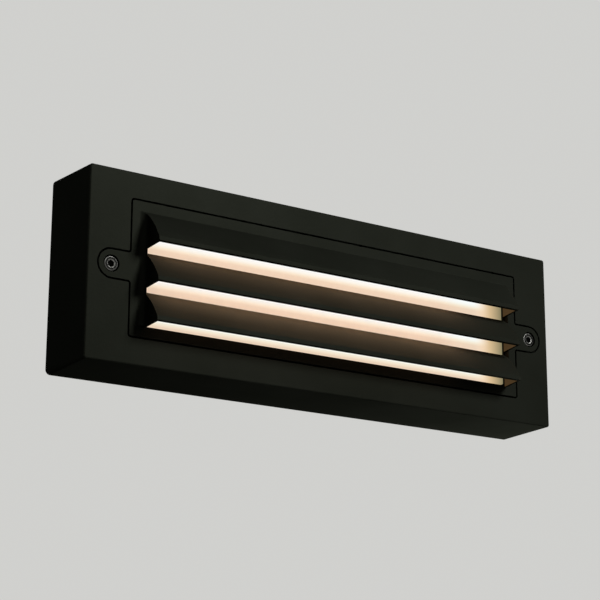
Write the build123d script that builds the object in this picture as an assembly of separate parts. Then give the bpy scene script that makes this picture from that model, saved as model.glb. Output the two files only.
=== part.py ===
from build123d import *
import os
from math import hypot, radians, tan

# Driving dimensions of a louvred wall light, in millimetres and degrees.
# X runs along the light, Z is up, the wall is the plane Y = 0 and the front faces -Y.
# A level is a distance off the wall, so level 35 is the plane Y = -35.

# Body casting
front_length = 270.0
front_height = 90.0
body_depth = 35.0
body_draft = 2.0
body_corner = 1.2
front_edge = 0.7
wall = 3.0
skin = 3.0
floor_standoff = 2.0
floor_thickness = 3.0
rib = 2.2
rib_base = 7.0
rib_count = 4
end_rib_spread = 40.0

# Louvre plate, let into the front face with a shadow gap all round
end_margin = 22.05
edge_margin = 13.3
groove_gap = 0.9
plate_thickness = 4.0
plate_corner = 0.8
ear_radius = 6.4
ear_blend = 1.5
screw_inset = 12.1

# Hoods of the louvre plate
hood_count = 3
rim_top = 4.95
rim_bottom = 5.0
rim_end = 6.5
hood_reach = 12.5
hood_crown = 1.1
hood_draft = 3.5
mouth_rise = 1.3
slot_gap = 1.05
sill_overlap = 0.7
lip_height = 2.1
lip_lean = 0.5
lip_thickness = 2.0
blade_root = 2.4
root_trim = 0.8
end_wall = 1.2
foot_radius = 3.0
crease_radius = 0.8

# Diffuser and its channel gasket
flange_thickness = 2.0
gasket_lip = 0.8
gasket_width = 4.5
gasket_web = 1.5
gasket_play = 0.6
diffuser_shell = 2.0
diffuser_play = 0.5
diffuser_sink = 0.6

# Pan inside the body
ledge_end = 8.05
ledge_side = 6.7
pan_corner = 6.0
pan_draft = 2.0

# Front screws, M4 socket heads with a nylon washer
thread = 4.0
thread_play = 0.05
screw_length = 14.0
head_diameter = 7.0
head_height = 4.0
head_sink = 0.4
hex_flats = 3.0
hex_depth = 2.2
head_chamfer = 0.4
counterbore = 8.0
ear_hole = 4.5
washer_thickness = 0.8
washer_diameter = 7.6
washer_play = 0.1
tap_extra = 1.5
boss_wall = 3.0

# Wall fixings and cable entry
fixing_inset = 14.5
fixing_width = 5.5
fixing_slot = 10.5
pad_margin = 3.2
entry_offset = 18.5
entry_hole = 15.0
entry_flange = 19.0
entry_bore = 8.0
entry_lip = 1.6
wall_gasket_width = 3.0
wall_gasket_inset = 1.0

# Gear tray that is also the reflector
tray_gap = 1.4
tray_play = 0.8
tray_flare = 4.0
tray_sheet = 1.0
tray_corner = 5.0
reflector_depth = 8.0
post_inset = 4.4
post_diameter = 7.0
post_tap_depth = 9.0

# Small service screws, M3 pan heads
small_thread = 3.0
small_head = 5.5
small_head_height = 2.0
tray_screw_length = 8.0
board_screw_length = 6.0
floor_screw_length = 6.0
hole_play = 0.2
floor_boss = 7.0
floor_tap_skin = 1.0

# Light engine
heat_pad_thickness = 0.5
heat_pad_inset = 0.6
board_thickness = 1.6
board_margin_end = 11.6
board_margin_side = 5.6
board_corner = 2.0
board_screw_inset_end = 5.0
board_screw_inset_side = 3.6
chip_rows = 2
chip_columns = 14
chip_row_spread = 14.0
chip_end_margin = 12.0
chip_length = 3.5
chip_width = 2.8
chip_height = 0.8
plug_length = 6.0
plug_width = 7.0
plug_height = 4.0
plug_inset = 6.0

# Terminal block
pole_count = 3
pole_pitch = 8.0
terminal_depth = 16.0
terminal_height = 11.0
terminal_side = 1.0
terminal_offset = 22.0
wire_height = 5.5
clamp_size = 5.0
clamp_play = 0.1
clamp_inset = 1.5
clamp_bore = 3.0
clamp_screw = 2.5
clamp_screw_head = 3.6
clamp_screw_head_height = 1.5
clamp_screw_spread = 7.0
mount_ear = 7.0
mount_ear_width = 8.0
mount_ear_thickness = 2.5

# Driver
driver_gap = 16.0
driver_length = 70.0
driver_width = 28.0
driver_height = 12.0
driver_wall = 1.6
driver_corner = 2.0
driver_board = 1.2
driver_rail = 2.0
driver_play = 0.4
driver_clearance = 1.0
driver_lid_plug = 0.8
transformer_size = 14.0
transformer_height = 4.6
capacitor_diameter = 4.5
capacitor_length = 13.0

# Earth stud and internal leads
earth_clearance = 5.0
earth_boss = 8.0
lug_thickness = 0.8
lug_diameter = 8.0
lug_barrel = 3.2
lug_barrel_length = 5.0
lug_neck = 2.0
earth_washer = 0.8
earth_head_height = 2.6
earth_screw_length = 8.0
mains_lead = 2.0
led_lead = 1.8
led_lead_spread = 2.2
lead_straight = 4.0
lead_bend = 4.0
bush_hole = 6.0
bush_flange = 8.0
bush_bore = 4.3
bush_lip = 1.0

# Levels off the wall
front_level = body_depth
plate_back = front_level - plate_thickness
seal_thickness = flange_thickness + 2 * gasket_lip
ledge = plate_back - seal_thickness
floor_front = floor_standoff + floor_thickness
tray_top = ledge - tray_gap
tray_base = tray_top - reflector_depth
tray_face = tray_base + tray_sheet
heat_pad_face = tray_face + heat_pad_thickness
board_face = heat_pad_face + board_thickness
wire_level = floor_front + wire_height
head_seat = front_level - head_sink - head_height
washer_seat = head_seat - washer_thickness
screw_tip = head_seat - screw_length

# Sizes that follow from the ones above
plate_length = front_length - 2 * end_margin
plate_height = front_height - 2 * edge_margin
screw_x = front_length / 2 - screw_inset
louvre_height = plate_height - rim_top - rim_bottom
hood_pitch = (louvre_height + slot_gap + sill_overlap) / hood_count
hood_drop = hood_pitch - slot_gap - mouth_rise
hood_half = plate_length / 2 - rim_end
window_half = hood_half - end_wall
window_top = plate_height / 2 - rim_top - blade_root
window_bottom = rim_bottom - plate_height / 2
pan_length = plate_length - 2 * ledge_end
pan_height = plate_height - 2 * ledge_side
pan_slope = tan(radians(pan_draft))
floor_length = pan_length - 2 * (ledge - floor_front) * pan_slope
floor_height = pan_height - 2 * (ledge - floor_front) * pan_slope
tray_length = pan_length - 2 * tray_gap * pan_slope - 2 * tray_play
tray_height = pan_height - 2 * tray_gap * pan_slope - 2 * tray_play
tray_base_length = tray_length - 2 * tray_flare
tray_base_height = tray_height - 2 * tray_flare
board_length = tray_base_length - 2 * board_margin_end
board_height = tray_base_height - 2 * board_margin_side
post_x = tray_base_length / 2 - post_inset
post_z = tray_base_height / 2 - post_inset
board_screw_x = board_length / 2 - board_screw_inset_end
board_screw_z = board_height / 2 - board_screw_inset_side
fixing_x = floor_length / 2 - fixing_inset
entry_x = entry_offset - fixing_x
terminal_x = entry_x + terminal_offset
terminal_width = pole_count * pole_pitch + 2 * terminal_side
terminal_face = terminal_x + terminal_depth / 2
driver_start = terminal_face + driver_gap
driver_end = driver_start + driver_length
driver_x = (driver_start + driver_end) / 2
earth_x = driver_start + lug_diameter
earth_z = earth_clearance - floor_height / 2
driver_z = earth_z + lug_diameter / 2 + driver_clearance + driver_width / 2
bush_x = (board_length + tray_base_length) / 4
plug_x = board_length / 2 - plug_inset

SIDES = {"left": -1, "right": 1}

# Places closer than this count as the same when edges are picked
SAME_PLACE = 0.01


# Shared shapes
def slab(sketch, low, high):
    """Extrude a sketch, drawn with X along the light and Y up, from one level to another."""
    return extrude(Plane.XZ.offset(low) * sketch, amount=high - low)


def rod(x, z, diameter, low, high):
    return slab(Pos(x, z) * Circle(diameter / 2), low, high)


def drafted(length, height, radius, top, base, angle):
    """Block with a rounded outline at level top that spreads by an angle down to level base."""
    spread = (top - base) * tan(radians(angle))
    lower = RectangleRounded(length + 2 * spread, height + 2 * spread, radius + spread)
    upper = RectangleRounded(length, height, radius)
    return loft([Plane.XZ.offset(base) * lower, Plane.XZ.offset(top) * upper], ruled=True)


def corners(x, z):
    return [(sx * x, sz * z) for sx in (-1, 1) for sz in (-1, 1)]


def pan_screw(x, z, seat, length, diameter, head, head_height):
    """Pan-head screw seated at a level, its shank running towards the wall."""
    return rod(x, z, diameter, seat - length, seat) + rod(x, z, head, seat, seat + head_height)


def grommet(x, z, hole, flange, bore, low, high, lip):
    """Rubber ring that grips the edge of a round hole in a sheet lying between two levels."""
    ring = rod(x, z, flange, low - lip, high + lip)
    ring -= slab(Pos(x, z) * (Circle(flange) - Circle(hole / 2)), low, high)
    return ring - rod(x, z, bore, low - lip, high + lip)


def lead(points, diameter, bend):
    """Insulated wire along straight runs joined by arcs; points are (x, level, z)."""
    path = FilletPolyline(*[(x, -level, z) for x, level, z in points], radius=bend)
    return sweep(Plane(origin=path @ 0, z_dir=path % 0) * Circle(diameter / 2), path=path)


# Louvre plate
def plate_outline(grow):
    """Plate with an ear at each end, grown outwards all round."""
    length = plate_length + 2 * grow
    outline = RectangleRounded(length, plate_height + 2 * grow, plate_corner + grow)
    half = ear_radius + grow
    for side in SIDES.values():
        outline += Pos(side * screw_x, 0) * Circle(half)
        outline += Pos(side * screw_x / 2, 0) * Rectangle(screw_x, 2 * half)
    blend = ear_blend - grow
    if blend > 0:
        at_end = [v for v in outline.vertices() if abs(abs(v.X) - length / 2) < SAME_PLACE]
        outline = fillet([v for v in at_end if abs(v.Y) < half + SAME_PLACE], blend)
    return outline


def hood_root(index):
    return plate_height / 2 - rim_top - index * hood_pitch


def crowned(start, end):
    """Arc from the root of a hood to its lip, bulging out and up by the crown height."""
    dx, dz = end[0] - start[0], end[1] - start[1]
    reach = hypot(dx, dz)
    middle_y = (start[0] + end[0]) / 2 + hood_crown * dz / reach
    middle_z = (start[1] + end[1]) / 2 - hood_crown * dx / reach
    return ThreePointArc(start, (middle_y, middle_z), end)


def along_light(edges):
    """Bar with a side profile drawn in (Y, Z), as long as the louvre field."""
    return extrude(Plane.YZ * make_face(edges), amount=hood_half, both=True)


def hood_wedge(index):
    """Full wedge of one hood: crowned top, upright lip and a mouth that rises towards the lip."""
    root = hood_root(index)
    foot = (-front_level, root - root_trim if index else root)
    brow = (lip_lean - front_level - hood_reach, root - hood_drop + lip_height)
    lip = (-front_level - hood_reach, root - hood_drop)
    heel = (-front_level, root - hood_drop - mouth_rise)
    return along_light([crowned(foot, brow), Line(brow, lip), Line(lip, heel), Line(heel, foot)])


def hood_hollow(root):
    """Space under one hood's blade, open at the mouth."""
    reach = hood_reach - lip_thickness
    foot = (-front_level, root - blade_root)
    tip = (-front_level - reach, root - hood_drop - mouth_rise * lip_thickness / hood_reach)
    below_tip = (tip[0], tip[1] - slot_gap / 2)
    heel = (-front_level, root - hood_drop - mouth_rise - slot_gap / 2)
    return along_light([crowned(foot, tip), Line(tip, below_tip), Line(below_tip, heel), Line(heel, foot)])


def between_ends(half_length):
    """Space between two end planes that lean together towards the lips by the hood draft."""
    lean = hood_reach * tan(radians(hood_draft))
    lower = Plane.XZ.offset(front_level) * Rectangle(2 * half_length, 2 * front_height)
    upper = Plane.XZ.offset(front_level + hood_reach) * Rectangle(2 * (half_length - lean), 2 * front_height)
    return loft([lower, upper], ruled=True)


def foot_edges(body, along):
    """Edges where the hoods stand on the plate that run along one axis."""
    top = hood_root(0) + SAME_PLACE
    return [edge for edge in body.edges().filter_by(along)
            if abs(edge.center().Y + front_level) < SAME_PLACE
            and abs(edge.center().X) < hood_half + SAME_PLACE
            and window_bottom < edge.center().Z < top]


def louvre_field():
    """Plate with its hoods as full wedges, eased into the plate at both ends and creased along the top."""
    ends = between_ends(hood_half)
    hoods = [hood_wedge(index) & ends for index in range(hood_count)]
    plinth_top = hood_root(0) - hood_drop
    plinth = slab(Pos(0, plinth_top - front_height / 2) * Rectangle(2 * hood_half, front_height), front_level,
                  front_level + 2 * foot_radius) & ends
    body = slab(plate_outline(0), plate_back, front_level) + hoods[0] + plinth
    body = fillet(foot_edges(body, Axis.Z), foot_radius)
    body = fillet(foot_edges(body, Axis.X), crease_radius)
    body -= plinth - hoods[0]
    body -= slab(Pos(0, window_bottom - front_height / 2) * Rectangle(front_length, front_height),
                 front_level, front_level + hood_reach)
    for hood in hoods[1:]:
        body += hood
    return body


def louvre_front():
    body = louvre_field()
    ends = between_ends(window_half)
    for index in range(hood_count):
        body -= hood_hollow(hood_root(index)) & ends
    window = Rectangle(2 * window_half, window_top - window_bottom)
    body -= slab(Pos(0, (window_top + window_bottom) / 2) * window, plate_back, front_level)
    for side in SIDES.values():
        x = side * screw_x
        neck = screw_x - plate_length / 2
        foot = Pos(x, 0) * Circle(ear_radius)
        foot += Pos(x - side * neck / 2, 0) * Rectangle(neck, 2 * ear_radius)
        body += slab(foot, ledge, plate_back)
        body -= rod(x, 0, counterbore, washer_seat, front_level)
        body -= rod(x, 0, ear_hole, ledge, washer_seat)
    return body


def front_screw(x):
    """Socket-head cap screw in one ear of the louvre plate."""
    head = rod(x, 0, head_diameter, head_seat, head_seat + head_height)
    head = chamfer(head.edges().group_by(Axis.Y)[0], head_chamfer)
    head -= slab(Pos(x, 0) * RegularPolygon(hex_flats / 2, 6, major_radius=False),
                 head_seat + head_height - hex_depth, head_seat + head_height)
    return head + rod(x, 0, thread, screw_tip, head_seat)


def screw_washer(x):
    ring = Circle(washer_diameter / 2) - Circle(thread / 2 + washer_play)
    return slab(Pos(x, 0) * ring, washer_seat, head_seat)


# Diffuser and gasket
def seal_outline(inset):
    return RectangleRounded(plate_length - 2 * inset, plate_height - 2 * inset, plate_corner + gasket_width)


def front_gasket():
    """Channel-section ring that wraps the diffuser's flange and is squeezed under the plate."""
    ring = seal_outline(gasket_play) - seal_outline(gasket_play + gasket_width)
    body = slab(ring, ledge, plate_back)
    return body - slab(seal_outline(gasket_play + gasket_web), ledge + gasket_lip, plate_back - gasket_lip)


def diffuser():
    """Moulded opal tray: a flat flange with a raised panel that fills the window behind the hoods."""
    flange_low = ledge + gasket_lip
    flange_high = plate_back - gasket_lip
    face = front_level - diffuser_sink
    length = 2 * (window_half - diffuser_play)
    height = window_top - window_bottom - 2 * diffuser_play
    middle = Pos(0, 0, (window_top + window_bottom) / 2)
    panel = drafted(length, height, plate_corner, face, flange_low, 0)
    hollow = drafted(length - 2 * diffuser_shell, height - 2 * diffuser_shell, plate_corner,
                     face - diffuser_shell, flange_low, pan_draft / 2)
    flange = slab(seal_outline(gasket_play + gasket_web), flange_low, flange_high)
    return flange + middle * panel - middle * hollow


# Body casting
def pan_block(grow, base):
    """Pan between its mouth at the ledge and a level nearer the wall, grown outwards all round."""
    return drafted(pan_length + 2 * grow, pan_height + 2 * grow, pan_corner + grow, ledge, base, -pan_draft)


def fixing_slots(grow):
    slots = [Pos(side * fixing_x, 0) * SlotOverall(fixing_slot + 2 * grow, fixing_width + 2 * grow)
             for side in SIDES.values()]
    return slots[0] + slots[1]


def driver_screw_places():
    reach = driver_length / 2 + mount_ear / 2
    aside = (driver_width - mount_ear_width) / 2
    return [(driver_x - reach, driver_z - aside), (driver_x + reach, driver_z + aside)]


def terminal_screw_places():
    reach = terminal_width / 2 + mount_ear / 2
    return [(terminal_x, -reach), (terminal_x, reach)]


def floor_screw_places():
    return terminal_screw_places() + driver_screw_places()


def rear_pocket():
    """Coring of the casting from behind: all that is not skin, wall, pan, boss, pad or rib."""
    depth = front_level - skin
    spread = 2 * skin * tan(radians(body_draft)) - 2 * wall
    pocket = drafted(front_length + spread, front_height + spread, body_corner, depth, 0, body_draft)
    pocket -= slab(plate_outline(groove_gap + wall), ledge - skin, front_level)
    pocket -= pan_block(wall, floor_standoff)
    pocket -= slab(fixing_slots(pad_margin), 0, floor_standoff)
    for x, z in floor_screw_places() + [(earth_x, earth_z)]:
        pocket -= rod(x, z, floor_boss, 0, floor_standoff)
    for side in SIDES.values():
        pocket -= rod(side * screw_x, 0, thread + 2 * boss_wall, screw_tip - tap_extra - boss_wall, ledge)
        end_rib = Pos(0, side * end_rib_spread / 2) * Rectangle(2 * front_length, rib)
        pocket -= slab(end_rib, rib_base, front_level)
    for index in range(rib_count):
        x = ((index + 0.5) / rib_count - 0.5) * plate_length
        pocket -= slab(Pos(x, 0) * Rectangle(rib, 2 * front_height), rib_base, front_level)
    return pocket


def housing():
    body = drafted(front_length, front_height, body_corner, front_level, 0, body_draft)
    body = fillet(body.faces().sort_by(Axis.Y)[0].edges(), front_edge)
    body -= rear_pocket()
    body -= slab(plate_outline(groove_gap), ledge, front_level)
    body -= pan_block(0, floor_front)
    for x, z in corners(post_x, post_z):
        body += rod(x, z, post_diameter, floor_front, tray_base)
        body -= rod(x, z, small_thread + 2 * thread_play, tray_base - post_tap_depth, tray_base)
    for x, z in floor_screw_places():
        body -= rod(x, z, small_thread + 2 * thread_play, floor_tap_skin, floor_front)
    body += rod(earth_x, earth_z, earth_boss, floor_front, lug_seat())
    body -= rod(earth_x, earth_z, thread + 2 * thread_play, floor_tap_skin, lug_seat())
    for side in SIDES.values():
        body -= rod(side * screw_x, 0, thread + 2 * thread_play, screw_tip - tap_extra, ledge)
    body -= slab(fixing_slots(0), 0, floor_front)
    return body - rod(entry_x, 0, entry_hole, floor_standoff, floor_front)


def wall_gasket():
    """Foam ring squeezed between the pan's back and the wall."""
    shrink = 2 * (ledge - floor_standoff) * pan_slope
    length = pan_length + 2 * wall - shrink - 2 * wall_gasket_inset
    height = pan_height + 2 * wall - shrink - 2 * wall_gasket_inset
    inner = RectangleRounded(length - 2 * wall_gasket_width, height - 2 * wall_gasket_width, pan_corner)
    return slab(RectangleRounded(length, height, pan_corner + wall_gasket_width) - inner, 0, floor_standoff)


def cable_grommet():
    return grommet(entry_x, 0, entry_hole, entry_flange, entry_bore, floor_standoff, floor_front, entry_lip)


# Gear tray and light engine
def gear_tray():
    """Folded sheet tray with flared sides that throw the light forward."""
    body = flared_tray(0, tray_base) - flared_tray(tray_sheet, tray_face)
    for x, z in corners(post_x, post_z):
        body -= rod(x, z, small_thread + 2 * hole_play, tray_base, tray_face)
    for x, z in corners(board_screw_x, board_screw_z):
        body -= rod(x, z, small_thread + 2 * thread_play, tray_base, tray_face)
    return body - rod(bush_x, 0, bush_hole, tray_base, tray_face)


def flared_tray(inset, base):
    lower = RectangleRounded(tray_base_length - 2 * inset, tray_base_height - 2 * inset, tray_corner)
    upper = RectangleRounded(tray_length - 2 * inset, tray_height - 2 * inset, tray_corner)
    return loft([Plane.XZ.offset(base) * lower, Plane.XZ.offset(tray_top) * upper], ruled=True)


def tray_screws():
    return [pan_screw(x, z, tray_face, tray_screw_length, small_thread, small_head, small_head_height)
            for x, z in corners(post_x, post_z)]


def tray_bush():
    return grommet(bush_x, 0, bush_hole, bush_flange, bush_bore, tray_base, tray_face, bush_lip)


def board_sheet(inset, low, high):
    """Sheet with the light board's outline and its screw holes."""
    sheet = RectangleRounded(board_length - 2 * inset, board_height - 2 * inset, board_corner)
    for x, z in corners(board_screw_x, board_screw_z):
        sheet -= Pos(x, z) * Circle(small_thread / 2 + hole_play)
    return slab(sheet, low, high)


def heat_pad():
    return board_sheet(heat_pad_inset, tray_face, heat_pad_face)


def led_board():
    return board_sheet(0, heat_pad_face, board_face)


def board_screws():
    return [pan_screw(x, z, board_face, board_screw_length, small_thread, small_head, small_head_height)
            for x, z in corners(board_screw_x, board_screw_z)]


def led_chips():
    """Rows of square-sided emitters spread evenly along the board."""
    pitch = (board_length - 2 * chip_end_margin) / (chip_columns - 1)
    row_pitch = chip_row_spread / (chip_rows - 1)
    places = GridLocations(pitch, row_pitch, chip_columns, chip_rows)
    return [slab(place * Rectangle(chip_length, chip_width), board_face, board_face + chip_height)
            for place in places]


def led_plug():
    body = slab(Pos(plug_x, 0) * Rectangle(plug_length, plug_width), board_face, board_face + plug_height)
    top = body.faces().sort_by(Axis.Y)[0]
    return chamfer(top.edges().filter_by(Axis.X), head_chamfer)


# Terminal block
def pole_offsets():
    return [(index - (pole_count - 1) / 2) * pole_pitch for index in range(pole_count)]


def clamp_screw_places():
    return [terminal_x + side * clamp_screw_spread / 2 for side in SIDES.values()]


def mount_ears(places, along):
    """Screw lugs round a set of places, each long enough to meet the moulding beside it."""
    ears = []
    for x, z in places:
        size = (mount_ear, mount_ear_width) if along else (mount_ear_width, mount_ear)
        ear = Pos(x, z) * (Rectangle(*size) - Circle(small_thread / 2 + hole_play))
        ears.append(slab(ear, floor_front, floor_front + mount_ear_thickness))
    return ears


def terminal_body():
    """Moulded strip with a square way through each pole and a screw well over each clamp screw."""
    top = floor_front + terminal_height
    body = slab(Pos(terminal_x, 0) * Rectangle(terminal_depth, terminal_width), floor_front, top)
    body = chamfer(body.faces().sort_by(Axis.Y)[0].edges().filter_by(Axis.Z), terminal_side)
    for z in pole_offsets():
        way = Rectangle(terminal_depth, clamp_size + 2 * clamp_play)
        half = clamp_size / 2 + clamp_play
        body -= slab(Pos(terminal_x, z) * way, wire_level - half, wire_level + half)
        for x in clamp_screw_places():
            body -= rod(x, z, clamp_screw_head + 2 * hole_play, wire_level, top)
    for ear in mount_ears(terminal_screw_places(), False):
        body += ear
    return body


def terminal_clamps():
    """Brass clamp of each pole, bored for the wires and tapped for two screws."""
    clamps = []
    for z in pole_offsets():
        middle = Pos(terminal_x, -wire_level, z)
        clamp = middle * Box(terminal_depth - 2 * clamp_inset, clamp_size, clamp_size)
        clamp -= middle * Rot(0, 90, 0) * Cylinder(clamp_bore / 2, terminal_depth)
        for x in clamp_screw_places():
            clamp -= rod(x, z, clamp_screw + 2 * thread_play, wire_level, wire_level + clamp_size)
        clamps.append(clamp)
    return clamps


def clamp_screws():
    seat = wire_level + clamp_size / 2
    length = clamp_size / 2
    return [pan_screw(x, z, seat, length, clamp_screw, clamp_screw_head, clamp_screw_head_height)
            for z in pole_offsets() for x in clamp_screw_places()]


def floor_screws(places):
    seat = floor_front + mount_ear_thickness
    return [pan_screw(x, z, seat, floor_screw_length, small_thread, small_head, small_head_height)
            for x, z in places]


# Driver
def driver_block(inset, low, high):
    outline = RectangleRounded(driver_length - 2 * inset, driver_width - 2 * inset, driver_corner)
    return slab(Pos(driver_x, driver_z) * outline, low, high)


def driver_case():
    """Moulded tub with two diagonal screw ears and rails for its circuit board."""
    lid = floor_front + driver_height - driver_wall
    body = driver_block(0, floor_front, lid)
    body -= driver_block(driver_wall, floor_front + driver_wall, lid)
    for side in SIDES.values():
        rail = Rectangle(driver_length - 2 * driver_wall, driver_rail)
        z = driver_z + side * (driver_width / 2 - driver_wall - driver_rail / 2)
        body += slab(Pos(driver_x, z) * rail, floor_front + driver_wall, driver_board_seat())
    for ear in mount_ears(driver_screw_places(), True):
        body += ear
    return body


def driver_lid():
    """Lid with a shallow plug that locates it in the tub."""
    top = floor_front + driver_height
    lid = driver_block(0, top - driver_wall, top)
    lid = chamfer(lid.faces().sort_by(Axis.Y)[0].edges(), head_chamfer)
    plug_inset = driver_wall + driver_play / 2
    return lid + driver_block(plug_inset, top - driver_wall - driver_lid_plug, top - driver_wall)


def driver_board_seat():
    return floor_front + driver_wall + driver_rail


def driver_circuit():
    return driver_block(driver_wall + driver_play, driver_board_seat(), driver_board_seat() + driver_board)


def driver_components():
    """Transformer block and two electrolytic capacitors lying on the driver's circuit board."""
    seat = driver_board_seat() + driver_board
    core = Rectangle(transformer_size, transformer_size)
    parts = [slab(Pos(driver_x, driver_z) * core, seat, seat + transformer_height)]
    for side in SIDES.values():
        x = driver_x + side * (transformer_size + capacitor_length) / 2 + side * driver_rail
        lying = Pos(x, -seat - capacitor_diameter / 2, driver_z) * Rot(0, 90, 0)
        parts.append(lying * Cylinder(capacitor_diameter / 2, capacitor_length))
    return parts


# Earth stud and internal leads
def lug_seat():
    return wire_level - lug_barrel / 2


def earth_lug():
    """Ring terminal with its crimp barrel pointing at the terminal block."""
    reach = lug_diameter / 2 + lug_neck
    flat = Circle(lug_diameter / 2) + Pos(-reach / 2, 0) * Rectangle(reach, lug_barrel)
    flat -= Circle(thread / 2 + hole_play)
    body = slab(Pos(earth_x, earth_z) * flat, lug_seat(), lug_seat() + lug_thickness)
    barrel = Pos(earth_x - reach - lug_barrel_length / 2, -wire_level, earth_z) * Rot(0, 90, 0)
    tube = Cylinder(lug_barrel / 2, lug_barrel_length)
    return body + barrel * tube


def earth_cup_washer():
    ring = Circle(lug_diameter / 2) - Circle(thread / 2 + hole_play)
    low = lug_seat() + lug_thickness
    return slab(Pos(earth_x, earth_z) * ring, low, low + earth_washer)


def earth_screw():
    seat = lug_seat() + lug_thickness + earth_washer
    return pan_screw(earth_x, earth_z, seat, earth_screw_length, thread, head_diameter, earth_head_height)


def mains_lead_between(z_start, x_end, z_end):
    """Lead from a terminal pole to a place at the same level, with one easy S bend."""
    start = terminal_face - clamp_inset
    bend_start = terminal_face + lead_straight
    points = [(start, wire_level, z_start), (bend_start, wire_level, z_start),
              (x_end - lead_straight, wire_level, z_end), (x_end, wire_level, z_end)]
    return lead(points, mains_lead, lead_straight / 2)


def live_lead():
    return mains_lead_between(pole_offsets()[2], driver_start, driver_z + pole_pitch / 2)


def neutral_lead():
    return mains_lead_between(pole_offsets()[1], driver_start, driver_z + mains_lead - pole_pitch / 2)


def earth_lead():
    barrel_end = earth_x - lug_diameter / 2 - lug_neck - lug_barrel_length
    return mains_lead_between(pole_offsets()[0], barrel_end, earth_z)


def led_lead_at(z):
    """Lead from the driver's end up through the tray bush and back to the plug on the light board."""
    plug_level = board_face + plug_height / 2
    points = [(driver_end, wire_level, z), (bush_x, wire_level, z),
              (bush_x, plug_level, z), (plug_x + plug_length / 2, plug_level, z)]
    return lead(points, led_lead, lead_bend)


# Every piece by its node name, with groups of like pieces as lists
pieces = {
    "housing": housing(),
    "wall_gasket": wall_gasket(),
    "cable_grommet": cable_grommet(),
    "louvre_front": louvre_front(),
    "front_gasket": front_gasket(),
    "diffuser": diffuser(),
    "gear_tray": gear_tray(),
    "tray_screws": tray_screws(),
    "tray_bush": tray_bush(),
    "heat_pad": heat_pad(),
    "led_board": led_board(),
    "led_chips": led_chips(),
    "board_screws": board_screws(),
    "led_plug": led_plug(),
    "terminal_body": terminal_body(),
    "terminal_clamps": terminal_clamps(),
    "clamp_screws": clamp_screws(),
    "terminal_screws": floor_screws(terminal_screw_places()),
    "driver_case": driver_case(),
    "driver_lid": driver_lid(),
    "driver_circuit": driver_circuit(),
    "driver_components": driver_components(),
    "driver_screws": floor_screws(driver_screw_places()),
    "earth_lug": earth_lug(),
    "earth_cup_washer": earth_cup_washer(),
    "earth_screw": earth_screw(),
    "live_lead": live_lead(),
    "neutral_lead": neutral_lead(),
    "earth_lead": earth_lead(),
    "led_lead_positive": led_lead_at(led_lead_spread / 2),
    "led_lead_negative": led_lead_at(-led_lead_spread / 2),
}
for side_name, side_sign in SIDES.items():
    pieces["front_screw_" + side_name] = front_screw(side_sign * screw_x)
    pieces["screw_washer_" + side_name] = screw_washer(side_sign * screw_x)

os.makedirs("parts", exist_ok=True)
for node, piece in pieces.items():
    shape = Compound(children=piece) if isinstance(piece, list) else piece
    export_step(shape, "parts/" + node + ".step")
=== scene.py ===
# %% [markdown]
# A louvred wall light for a porch or a garden: a black cast box with three hoods over a lit opal panel.
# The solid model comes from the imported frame, already in metres and in its place, so this file only
# dresses it. It could be modelled again in Blender, but then two shapes would have to be kept equal by
# hand.

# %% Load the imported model
from math import pi, radians, tan

import bpy
import numpy as np
from mathutils import Matrix, Vector


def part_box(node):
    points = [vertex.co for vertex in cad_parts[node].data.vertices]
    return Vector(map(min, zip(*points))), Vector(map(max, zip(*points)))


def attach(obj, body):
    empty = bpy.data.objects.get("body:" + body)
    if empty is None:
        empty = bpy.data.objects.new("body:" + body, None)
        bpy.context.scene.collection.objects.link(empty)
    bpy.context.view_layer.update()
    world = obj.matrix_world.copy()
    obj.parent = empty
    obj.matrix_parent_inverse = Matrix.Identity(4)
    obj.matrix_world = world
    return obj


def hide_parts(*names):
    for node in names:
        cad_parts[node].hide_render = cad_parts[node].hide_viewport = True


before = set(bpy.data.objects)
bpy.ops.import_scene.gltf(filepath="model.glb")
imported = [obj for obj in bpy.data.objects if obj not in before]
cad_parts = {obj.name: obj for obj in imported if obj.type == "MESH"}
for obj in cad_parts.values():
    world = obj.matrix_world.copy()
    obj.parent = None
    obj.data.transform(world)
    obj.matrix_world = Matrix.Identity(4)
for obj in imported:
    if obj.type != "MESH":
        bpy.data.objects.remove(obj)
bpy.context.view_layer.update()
MM = 0.001


# %% [markdown]
# The camera looks up at the light from its lower left, through a long lens that keeps the edges nearly
# parallel. It could be aimed with a tracking constraint, but three plain turns say more clearly where it
# points: a heading about the upright axis, a tilt above the horizon and a hair of roll.

# %% Camera
def aimed_camera(place, heading, tilt, roll, lens):
    """A camera turned by heading from straight ahead (+Y) to the right, then tilted up, then rolled."""
    data = bpy.data.cameras.new("camera")
    data.lens = lens
    data.sensor_width = 36
    data.clip_start = 0.05
    camera = bpy.data.objects.new("camera", data)
    turn = Matrix.Rotation(-heading, 4, "Z")
    raise_up = Matrix.Rotation(pi / 2 + tilt, 4, "X")
    camera.matrix_world = Matrix.Translation(place) @ turn @ raise_up @ Matrix.Rotation(roll, 4, "Z")
    bpy.context.scene.collection.objects.link(camera)
    return camera


scene = bpy.context.scene
scene.camera = aimed_camera(
    place=Vector((-0.4818, -0.7131, -0.2250)),
    heading=radians(34.18),
    tilt=radians(15.27),
    roll=radians(0.21),
    lens=107,
)
scene.view_settings.view_transform = "Standard"
print("camera at", [round(c, 3) for c in scene.camera.location])


# %% [markdown]
# Every finish below is a small tree of shader nodes. One helper adds a node, sets its fields and fills its
# sockets, so each finish reads as a list of what it is made of. Colours are written as the sRGB hex values
# that a paint chart gives, and one function turns them into the linear numbers that the shader works with.

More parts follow.
